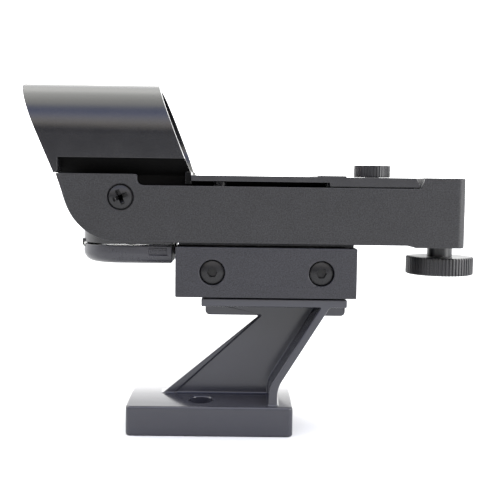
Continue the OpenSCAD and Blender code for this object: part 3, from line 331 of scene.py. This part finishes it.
def softenedCopy(node, radius, steps):
    source = frame["nodes"][node]
    work = bmesh.new()
    work.from_mesh(source.data)
    bmesh.ops.remove_doubles(work, verts=work.verts, dist=softening["merge"])
    flat, sharp = math.radians(softening["flat"]), math.radians(softening["sharp"])
    bmesh.ops.dissolve_limit(work, angle_limit=flat, verts=work.verts, edges=work.edges)
    widest = max(radius, footEdge["radius"]) if node == "mount_bracket" else radius
    weight = work.edges.layers.float.new("bevel_weight_edge")
    for edge in work.edges:
        if len(edge.link_faces) == 2 and edge.calc_face_angle() > sharp:
            low = all(v.co.z < footEdge["height"] * millimetre for v in edge.verts)
            edge[weight] = 1.0 if low else radius / widest
    mesh = bpy.data.meshes.new(node + "Soft")
    work.to_mesh(mesh)
    work.free()
    mesh.materials.clear()
    mesh.materials.append(paintFor(node))
    for face in mesh.polygons:
        face.use_smooth = True
        face.material_index = 0
    # crevice faces get the second, dead black material as painted shade
    if node in paintedShadeZones:
        mesh.materials.append(paints["baffleBlackAndPaintedShade"])
        paintShadeZone(mesh, paintedShadeZones[node])
    piece = bpy.data.objects.new(node + "Soft", mesh)
    scene.collection.objects.link(piece)
    bevel = piece.modifiers.new("softEdge", "BEVEL")
    bevel.width = widest * millimetre
    bevel.segments = steps
    bevel.limit_method = "WEIGHT"
    bevel.use_clamp_overlap = False
    bevel.miter_outer = "MITER_ARC"
    smooth = piece.modifiers.new("evenShading", "WEIGHTED_NORMAL")
    smooth.keep_sharp = True
    smooth.weight = softening["faceWeight"]
    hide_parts(node)
    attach(piece, nodeBody[node])
    return piece


for node, (radius, steps) in softEdges.items():
    softenedCopy(node, radius, steps)
print("edges softened on", len(softEdges), "parts")


def newTree(label, sockets):
    tree = bpy.data.node_groups.new(label, "GeometryNodeTree")
    tree.interface.new_socket("Geometry", in_out="OUTPUT", socket_type="NodeSocketGeometry")
    for name, kind in sockets:
        tree.interface.new_socket(name, in_out="INPUT", socket_type="NodeSocket" + kind)
    given = tree.nodes.new("NodeGroupInput").outputs
    return tree, given


creaseAngle = 0.6  # radians; edges sharper than this aren't shaded smooth


def closeTree(tree, geometry, finish):
    # a cut can leave points behind that carry no face
    faceCount = addNode(tree, "GeometryNodeInputMeshVertexNeighbors").outputs["Face Count"]
    bare = addNode(tree, "FunctionNodeCompare", {0: faceCount, 1: 0.5}, operation="LESS_THAN")
    whole = addNode(tree, "GeometryNodeDeleteGeometry", {"Geometry": geometry, "Selection": bare.outputs[0]})
    sides = addNode(tree, "GeometryNodeInputMeshEdgeAngle").outputs["Unsigned Angle"]
    steep = addNode(tree, "FunctionNodeCompare", {0: sides, 1: creaseAngle}, operation="GREATER_THAN")
    smooth = addNode(tree, "GeometryNodeSetShadeSmooth", {"Geometry": whole.outputs[0], "Shade Smooth": True})
    sharp = addNode(tree, "GeometryNodeSetShadeSmooth", {
        "Geometry": smooth.outputs[0], "Selection": steep.outputs[0], "Shade Smooth": False}, domain="EDGE")
    single = addNode(tree, "GeometryNodeRealizeInstances", {"Geometry": sharp.outputs[0]})
    painted = addNode(tree, "GeometryNodeSetMaterial", {"Geometry": single.outputs[0], "Material": finish})
    end = tree.nodes.new("NodeGroupOutput")
    tree.links.new(painted.outputs[0], end.inputs[0])


def grow(label, tree, values, place, node=None, body=None):
    holder = bpy.data.objects.new(label + "Holder", bpy.data.meshes.new(label + "Holder"))
    scene.collection.objects.link(holder)
    modifier = holder.modifiers.new("grow", "NODES")
    modifier.node_group = tree
    for item in tree.interface.items_tree:
        if item.item_type == "SOCKET" and item.in_out == "INPUT":
            modifier[item.identifier] = values[item.name]
    ready = holder.evaluated_get(bpy.context.evaluated_depsgraph_get())
    mesh = bpy.data.meshes.new_from_object(ready)
    bpy.data.objects.remove(holder)
    mesh.name = label
    mesh.transform(place @ Matrix.Scale(millimetre, 4))
    piece = bpy.data.objects.new(label, mesh)
    scene.collection.objects.link(piece)
    if node:
        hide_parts(node)
    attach(piece, body or nodeBody[node])
    print(label, "grown,", len(mesh.polygons), "faces")
    return piece


tuck = 0.499  # where a neck or shank joins, just under half of both heights
knobMesh = {"pointsPerRib": 10, "sideSteps": 24, "capSteps": 6, "neckSides": 64}
knobShape = {
    "ribSlope": 0.45,  # how steep a rib's sides are, as the part of the wave they take
    "rimPower": 6.0,  # how fast the ribs fade towards the middle of the end faces
    "dishReach": 0.75,  # the dish's radius over the knob's
    "dishPower": 0.5,
    "endFace": 0.99,  # what lies farther out than this share of the height is an end face
}


def makeKnobTree():
    tree, given = newTree("ribbedKnob", (
        ("Radius", "Float"), ("Height", "Float"), ("Ribs", "Int"), ("Rib Depth", "Float"), ("Edge", "Float"),
        ("Neck Radius", "Float"), ("Neck Height", "Float"), ("Dish", "Float"), ("Finish", "Material")))
    around = calc(tree, "MULTIPLY", given["Ribs"], knobMesh["pointsPerRib"])
    rim = addNode(tree, "GeometryNodeMeshCylinder", {
        "Vertices": around, "Side Segments": knobMesh["sideSteps"], "Fill Segments": knobMesh["capSteps"],
        "Radius": given["Radius"], "Depth": given["Height"]}, fill_type="TRIANGLE_FAN")
    axes = addNode(tree, "ShaderNodeSeparateXYZ", {0: addNode(tree, "GeometryNodeInputPosition").outputs[0]})
    x, y, z = axes.outputs
    turn = calc(tree, "ARCTAN2", y, x)
    wave = calc(tree, "COSINE", calc(tree, "MULTIPLY", turn, given["Ribs"]))
    groove = addNode(tree, "ShaderNodeMapRange", {
        "Value": wave, "From Min": -knobShape["ribSlope"], "From Max": knobShape["ribSlope"],
        "To Min": 1.0, "To Max": 0.0}, interpolation_type="SMOOTHSTEP")
    sunk = calc(tree, "MULTIPLY", groove.outputs[0], given["Rib Depth"])
    halfHeight = calc(tree, "MULTIPLY", given["Height"], 0.5)
    over = calc(tree, "SUBTRACT", calc(tree, "ABSOLUTE", z), calc(tree, "SUBTRACT", halfHeight, given["Edge"]))
    share = calc(tree, "MAXIMUM", calc(tree, "DIVIDE", over, given["Edge"]), 0.0)
    left = calc(tree, "SUBTRACT", 1.0, calc(tree, "MULTIPLY", share, share))
    curve = calc(tree, "SQRT", calc(tree, "MAXIMUM", left, 0.0))
    drop = calc(tree, "MULTIPLY", given["Edge"], calc(tree, "SUBTRACT", 1.0, curve))
    reach = calc(tree, "SQRT", calc(tree, "ADD", calc(tree, "MULTIPLY", x, x), calc(tree, "MULTIPLY", y, y)))
    outer = calc(tree, "POWER", calc(tree, "DIVIDE", reach, given["Radius"]), knobShape["rimPower"])
    inward = calc(tree, "MULTIPLY", calc(tree, "ADD", sunk, drop), outer)
    less = calc(tree, "DIVIDE", inward, given["Radius"])
    scale = calc(tree, "SUBTRACT", 1.0, less)
    dishRadius = calc(tree, "MULTIPLY", given["Radius"], knobShape["dishReach"])
    inner = calc(tree, "SUBTRACT", 1.0, calc(tree, "MINIMUM", calc(tree, "DIVIDE", reach, dishRadius), 1.0))
    endHeight = calc(tree, "MULTIPLY", halfHeight, knobShape["endFace"])
    onEnd = calc(tree, "GREATER_THAN", calc(tree, "ABSOLUTE", z), endHeight)
    bowl = calc(tree, "POWER", inner, knobShape["dishPower"])
    hollow = calc(tree, "MULTIPLY", calc(tree, "MULTIPLY", given["Dish"], onEnd), bowl)
    newZ = calc(tree, "SUBTRACT", z, calc(tree, "MULTIPLY", calc(tree, "SIGN", z), hollow))
    spot = addNode(tree, "ShaderNodeCombineXYZ", {
        0: calc(tree, "MULTIPLY", x, scale), 1: calc(tree, "MULTIPLY", y, scale), 2: newZ})
    shaped = addNode(tree, "GeometryNodeSetPosition", {
        "Geometry": rim.outputs["Mesh"], "Position": spot.outputs[0]})
    neck = addNode(tree, "GeometryNodeMeshCylinder", {
        "Vertices": knobMesh["neckSides"], "Radius": given["Neck Radius"], "Depth": given["Neck Height"]})
    bothHeights = calc(tree, "ADD", given["Height"], given["Neck Height"])
    lift = addNode(tree, "ShaderNodeCombineXYZ", {2: calc(tree, "MULTIPLY", bothHeights, tuck)})
    raised = addNode(tree, "GeometryNodeTransform", {
        "Geometry": neck.outputs["Mesh"], "Translation": lift.outputs[0]})
    joined = tree.nodes.new("GeometryNodeJoinGeometry")
    tree.links.new(shaped.outputs[0], joined.inputs[0])
    tree.links.new(raised.outputs[0], joined.inputs[0])
    closeTree(tree, joined.outputs[0], given["Finish"])
    return tree


headMesh = {"sides": 72, "sideSteps": 6, "capSteps": 10, "shankSides": 48}


def headGeometry(tree, given, cutter):
    head = addNode(tree, "GeometryNodeMeshCylinder", {
        "Vertices": headMesh["sides"], "Side Segments": headMesh["sideSteps"],
        "Fill Segments": headMesh["capSteps"], "Radius": given["Head Radius"], "Depth": given["Head Height"]},
        fill_type="TRIANGLE_FAN")
    axes = addNode(tree, "ShaderNodeSeparateXYZ", {0: addNode(tree, "GeometryNodeInputPosition").outputs[0]})
    x, y, z = axes.outputs
    reach = calc(tree, "ADD", calc(tree, "MULTIPLY", x, x), calc(tree, "MULTIPLY", y, y))
    sag = calc(tree, "DIVIDE", reach, calc(tree, "MULTIPLY", given["Dome Radius"], 2.0))
    share = calc(tree, "ADD", calc(tree, "DIVIDE", z, given["Head Height"]), 0.5)
    height = calc(tree, "SUBTRACT", z, calc(tree, "MULTIPLY", sag, share))
    spot = addNode(tree, "ShaderNodeCombineXYZ", {0: x, 1: y, 2: height})
    domed = addNode(tree, "GeometryNodeSetPosition", {
        "Geometry": head.outputs["Mesh"], "Position": spot.outputs[0]})
    lift = addNode(tree, "ShaderNodeCombineXYZ", {2: calc(tree, "MULTIPLY", given["Head Height"], 0.5)})
    atTop = addNode(tree, "GeometryNodeTransform", {"Geometry": cutter, "Translation": lift.outputs[0]})
    cutHead = addNode(tree, "GeometryNodeMeshBoolean", {0: domed.outputs[0]}, operation="DIFFERENCE")
    tree.links.new(atTop.outputs[0], cutHead.inputs[1])
    shank = addNode(tree, "GeometryNodeMeshCylinder", {
        "Vertices": headMesh["shankSides"], "Radius": given["Shank Radius"], "Depth": given["Shank Length"]})
    bothHeights = calc(tree, "ADD", given["Head Height"], given["Shank Length"])
    below = addNode(tree, "ShaderNodeCombineXYZ", {2: calc(tree, "MULTIPLY", bothHeights, -tuck)})
    lowered = addNode(tree, "GeometryNodeTransform", {
        "Geometry": shank.outputs["Mesh"], "Translation": below.outputs[0]})
    joined = tree.nodes.new("GeometryNodeJoinGeometry")
    tree.links.new(cutHead.outputs[0], joined.inputs[0])
    tree.links.new(lowered.outputs[0], joined.inputs[0])
    return joined.outputs[0]


headSockets = (
    ("Head Radius", "Float"), ("Head Height", "Float"), ("Dome Radius", "Float"), ("Shank Radius", "Float"),
    ("Shank Length", "Float"), ("Recess Depth", "Float"))


def makeSocketScrewTree():
    tree, given = newTree("socketScrews", (
        *headSockets, ("Across Flats", "Float"), ("Count", "Int"), ("Pitch", "Float"), ("Finish", "Material")))
    cutter = addNode(tree, "GeometryNodeMeshCylinder", {
        "Vertices": 6, "Radius": calc(tree, "DIVIDE", given["Across Flats"], math.sqrt(3)),
        "Depth": calc(tree, "MULTIPLY", given["Recess Depth"], 2.0)})
    screw = headGeometry(tree, given, cutter.outputs["Mesh"])
    step = addNode(tree, "ShaderNodeCombineXYZ", {0: given["Pitch"]})
    row = addNode(tree, "GeometryNodeMeshLine", {"Count": given["Count"], "Offset": step.outputs[0]})
    copies = addNode(tree, "GeometryNodeInstanceOnPoints", {"Points": row.outputs[0], "Instance": screw})
    single = addNode(tree, "GeometryNodeRealizeInstances", {"Geometry": copies.outputs[0]})
    closeTree(tree, single.outputs[0], given["Finish"])
    return tree


def crossCutter(tree, given):
    depth = calc(tree, "MULTIPLY", given["Recess Depth"], 2.0)
    size = addNode(tree, "ShaderNodeCombineXYZ", {0: given["Cross Length"], 1: given["Cross Width"], 2: depth})
    bar = addNode(tree, "GeometryNodeMeshCube", {"Size": size.outputs[0]})
    other = addNode(tree, "GeometryNodeTransform", {
        "Geometry": bar.outputs["Mesh"], "Rotation": (0, 0, math.pi / 2)})
    cross = addNode(tree, "GeometryNodeMeshBoolean", operation="UNION")
    tree.links.new(bar.outputs["Mesh"], cross.inputs[1])
    tree.links.new(other.outputs[0], cross.inputs[1])
    turn = addNode(tree, "ShaderNodeCombineXYZ", {2: given["Turn"]})
    return addNode(tree, "GeometryNodeTransform", {
        "Geometry": cross.outputs[0], "Rotation": turn.outputs[0]}).outputs[0]


crossSockets = (*headSockets, ("Cross Length", "Float"), ("Cross Width", "Float"), ("Turn", "Float"))


def makeOpposedScrewTree():
    tree, given = newTree("opposedScrews", (*crossSockets, ("Span", "Float"), ("Finish", "Material")))
    screw = headGeometry(tree, given, crossCutter(tree, given))
    out = addNode(tree, "ShaderNodeCombineXYZ", {2: calc(tree, "MULTIPLY", given["Span"], 0.5)})
    near = addNode(tree, "GeometryNodeTransform", {"Geometry": screw, "Translation": out.outputs[0]})
    far = addNode(tree, "GeometryNodeTransform", {"Geometry": near.outputs[0], "Rotation": (math.pi, 0, 0)})
    joined = tree.nodes.new("GeometryNodeJoinGeometry")
    tree.links.new(near.outputs[0], joined.inputs[0])
    tree.links.new(far.outputs[0], joined.inputs[0])
    closeTree(tree, joined.outputs[0], given["Finish"])
    return tree


def makeGridScrewTree():
    tree, given = newTree("gridScrews", (
        *crossSockets, ("Pitch X", "Float"), ("Pitch Y", "Float"), ("Finish", "Material")))
    screw = headGeometry(tree, given, crossCutter(tree, given))
    spots = addNode(tree, "GeometryNodeMeshGrid", {
        "Size X": given["Pitch X"], "Size Y": given["Pitch Y"], "Vertices X": 2, "Vertices Y": 2})
    copies = addNode(tree, "GeometryNodeInstanceOnPoints", {"Points": spots.outputs[0], "Instance": screw})
    single = addNode(tree, "GeometryNodeRealizeInstances", {"Geometry": copies.outputs[0]})
    closeTree(tree, single.outputs[0], given["Finish"])
    return tree


ridgeMesh = {"sides": 16, "lengthSteps": 8}


def makeRidgeTree():
    tree, given = newTree("gripRidges", (
        ("Length", "Float"), ("Radius", "Float"), ("Count", "Int"), ("Pitch", "Float"), ("Span", "Float"),
        ("Finish", "Material")))
    bar = addNode(tree, "GeometryNodeMeshCylinder", {
        "Vertices": ridgeMesh["sides"], "Side Segments": ridgeMesh["lengthSteps"],
        "Radius": given["Radius"], "Depth": given["Length"]})
    lying = addNode(tree, "GeometryNodeTransform", {
        "Geometry": bar.outputs["Mesh"], "Rotation": (0, math.pi / 2, 0)})
    step = addNode(tree, "ShaderNodeCombineXYZ", {2: given["Pitch"]})
    start = addNode(tree, "ShaderNodeCombineXYZ", {1: calc(tree, "MULTIPLY", given["Span"], -0.5)})
    row = addNode(tree, "GeometryNodeMeshLine", {
        "Count": given["Count"], "Start Location": start.outputs[0], "Offset": step.outputs[0]})
    near = addNode(tree, "GeometryNodeInstanceOnPoints", {
        "Points": row.outputs[0], "Instance": lying.outputs[0]})
    across = addNode(tree, "ShaderNodeCombineXYZ", {1: given["Span"]})
    far = addNode(tree, "GeometryNodeTransform", {
        "Geometry": near.outputs[0], "Translation": across.outputs[0]})
    joined = tree.nodes.new("GeometryNodeJoinGeometry")
    tree.links.new(near.outputs[0], joined.inputs[0])
    tree.links.new(far.outputs[0], joined.inputs[0])
    single = addNode(tree, "GeometryNodeRealizeInstances", {"Geometry": joined.outputs[0]})
    closeTree(tree, single.outputs[0], given["Finish"])
    return tree


knobTree = makeKnobTree()
knobs = {
    # millimetres; axis is where the knob's neck points
    "altitude_knob": {
        "height": 5.2, "ribs": 60, "ribDepth": 0.28, "edge": 0.35,
        "neckRadius": 3.7, "dish": 0.25, "axis": "up"},
    "azimuth_knob": {
        "height": 5.3, "ribs": 30, "ribDepth": 0.28, "edge": 0.40,
        "neckRadius": 2.6, "dish": 0.2, "axis": "back"},
    "brightness_knob": {
        "height": 3.4, "ribs": 40, "ribDepth": 0.18, "edge": 0.14,
        "neckRadius": 2.0, "dish": 0.0, "axis": "down"},
}
shortestNeck = 0.05  # millimetres
facing = {
    "up": Matrix.Identity(4),
    "down": Matrix.Rotation(math.pi, 4, "X"),
    "back": Matrix.Rotation(math.pi / 2, 4, "X"),
}


def makeKnob(node, setup):
    low, high = (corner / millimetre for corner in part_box(node))
    middle, size = (low + high) / 2, high - low
    deep = 1 if setup["axis"] == "back" else 2
    height = setup["height"]
    if setup["axis"] == "up":
        middle[deep] = low[deep] + height / 2
    else:
        middle[deep] = high[deep] - height / 2
    values = {
        "Radius": size[0] / 2, "Height": height, "Ribs": setup["ribs"], "Rib Depth": setup["ribDepth"],
        "Edge": setup["edge"], "Neck Radius": setup["neckRadius"],
        "Neck Height": max(size[deep] - height, shortestNeck), "Dish": setup["dish"], "Finish": paintFor(node)}
    place = Matrix.Translation(middle * millimetre) @ facing[setup["axis"]]
    grow(node + "Ribbed", knobTree, values, place, node)


for node, setup in knobs.items():
    makeKnob(node, setup)

clampScrews = {
    "headRadius": 3.25, "headHeight": 2.2, "domeRadius": 9.0, "shankRadius": 2.0,
    "socket": 2.6, "socketDepth": 1.5, "pitch": 31.0,
}


def makeClampScrews(setup):
    low, high = (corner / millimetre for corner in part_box("clamp_screws"))
    height = setup["headHeight"]
    nearHead = Vector(((low.x + high.x - setup["pitch"]) / 2, low.y + height / 2, (low.z + high.z) / 2))
    place = Matrix.Translation(nearHead * millimetre) @ Matrix.Rotation(math.pi / 2, 4, "X")
    values = {
        "Head Radius": setup["headRadius"], "Head Height": height, "Dome Radius": setup["domeRadius"],
        "Shank Radius": setup["shankRadius"], "Shank Length": high.y - low.y - height,
        "Recess Depth": setup["socketDepth"], "Across Flats": setup["socket"],
        "Count": 2, "Pitch": setup["pitch"], "Finish": paintFor("clamp_screws")}
    grow("clampScrewsDomed", makeSocketScrewTree(), values, place, "clamp_screws")


makeClampScrews(clampScrews)

pivotScrews = {
    "headRadius": 3.2, "headHeight": 2.0, "domeRadius": 6.5, "sunk": 0.1,
    "shankRadius": 1.7, "shankLength": 4.6,
    "crossLength": 4.3, "crossWidth": 1.2, "crossDepth": 1.6, "turn": 25,
}


def makePivotScrews(setup):
    low, high = (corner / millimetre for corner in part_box("pivot_screws"))
    height = setup["headHeight"]
    values = {
        "Head Radius": setup["headRadius"], "Head Height": height, "Dome Radius": setup["domeRadius"],
        "Shank Radius": setup["shankRadius"], "Shank Length": setup["shankLength"],
        "Recess Depth": setup["crossDepth"],
        "Cross Length": setup["crossLength"], "Cross Width": setup["crossWidth"],
        "Turn": math.radians(setup["turn"]), "Span": high.y - low.y - height - setup["sunk"] * 2,
        "Finish": paintFor("pivot_screws")}
    place = Matrix.Translation((low + high) / 2 * millimetre) @ Matrix.Rotation(math.pi / 2, 4, "X")
    grow("pivotScrewsDomed", makeOpposedScrewTree(), values, place, "pivot_screws")


makePivotScrews(pivotScrews)

coverScrews = {
    "headRadius": 1.9, "headHeight": 0.7, "domeRadius": 6.0, "shankRadius": 1.0,
    "crossLength": 2.1, "crossWidth": 0.45, "crossDepth": 0.45, "turn": 12,
}


def makeCoverScrews(setup):
    low, high = (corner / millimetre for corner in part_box("cover_screws"))
    headRadius, height = setup["headRadius"], setup["headHeight"]
    place = Vector(((low.x + high.x) / 2, (low.y + high.y) / 2, high.z - height / 2)) * millimetre
    values = {
        "Head Radius": headRadius, "Head Height": height, "Dome Radius": setup["domeRadius"],
        "Shank Radius": setup["shankRadius"], "Shank Length": high.z - low.z - height,
        "Recess Depth": setup["crossDepth"],
        "Cross Length": setup["crossLength"], "Cross Width": setup["crossWidth"],
        "Turn": math.radians(setup["turn"]), "Pitch X": high.x - low.x - 2 * headRadius,
        "Pitch Y": high.y - low.y - 2 * headRadius, "Finish": paintFor("cover_screws")}
    grow("coverScrewsDomed", makeGridScrewTree(), values, Matrix.Translation(place), "cover_screws")


makeCoverScrews(coverScrews)

gripRidges = {
    "length": 5.0, "radius": 0.16, "count": 4, "pitch": 0.5, "fromRear": 4.0, "fromTop": 2.3, "inset": 0.5,
}


def makeGripRidges(setup):
    low, high = (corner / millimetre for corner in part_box("battery_cover"))
    place = Vector((high.x - setup["fromRear"], 0, high.z - setup["fromTop"])) * millimetre
    values = {
        "Length": setup["length"], "Radius": setup["radius"], "Count": setup["count"], "Pitch": setup["pitch"],
        "Span": high.y - low.y - 2 * setup["inset"], "Finish": paintFor("battery_cover")}
    tree = makeRidgeTree()
    grow("gripRidges", tree, values, Matrix.Translation(place), body="battery_door")


makeGripRidges(gripRidges)
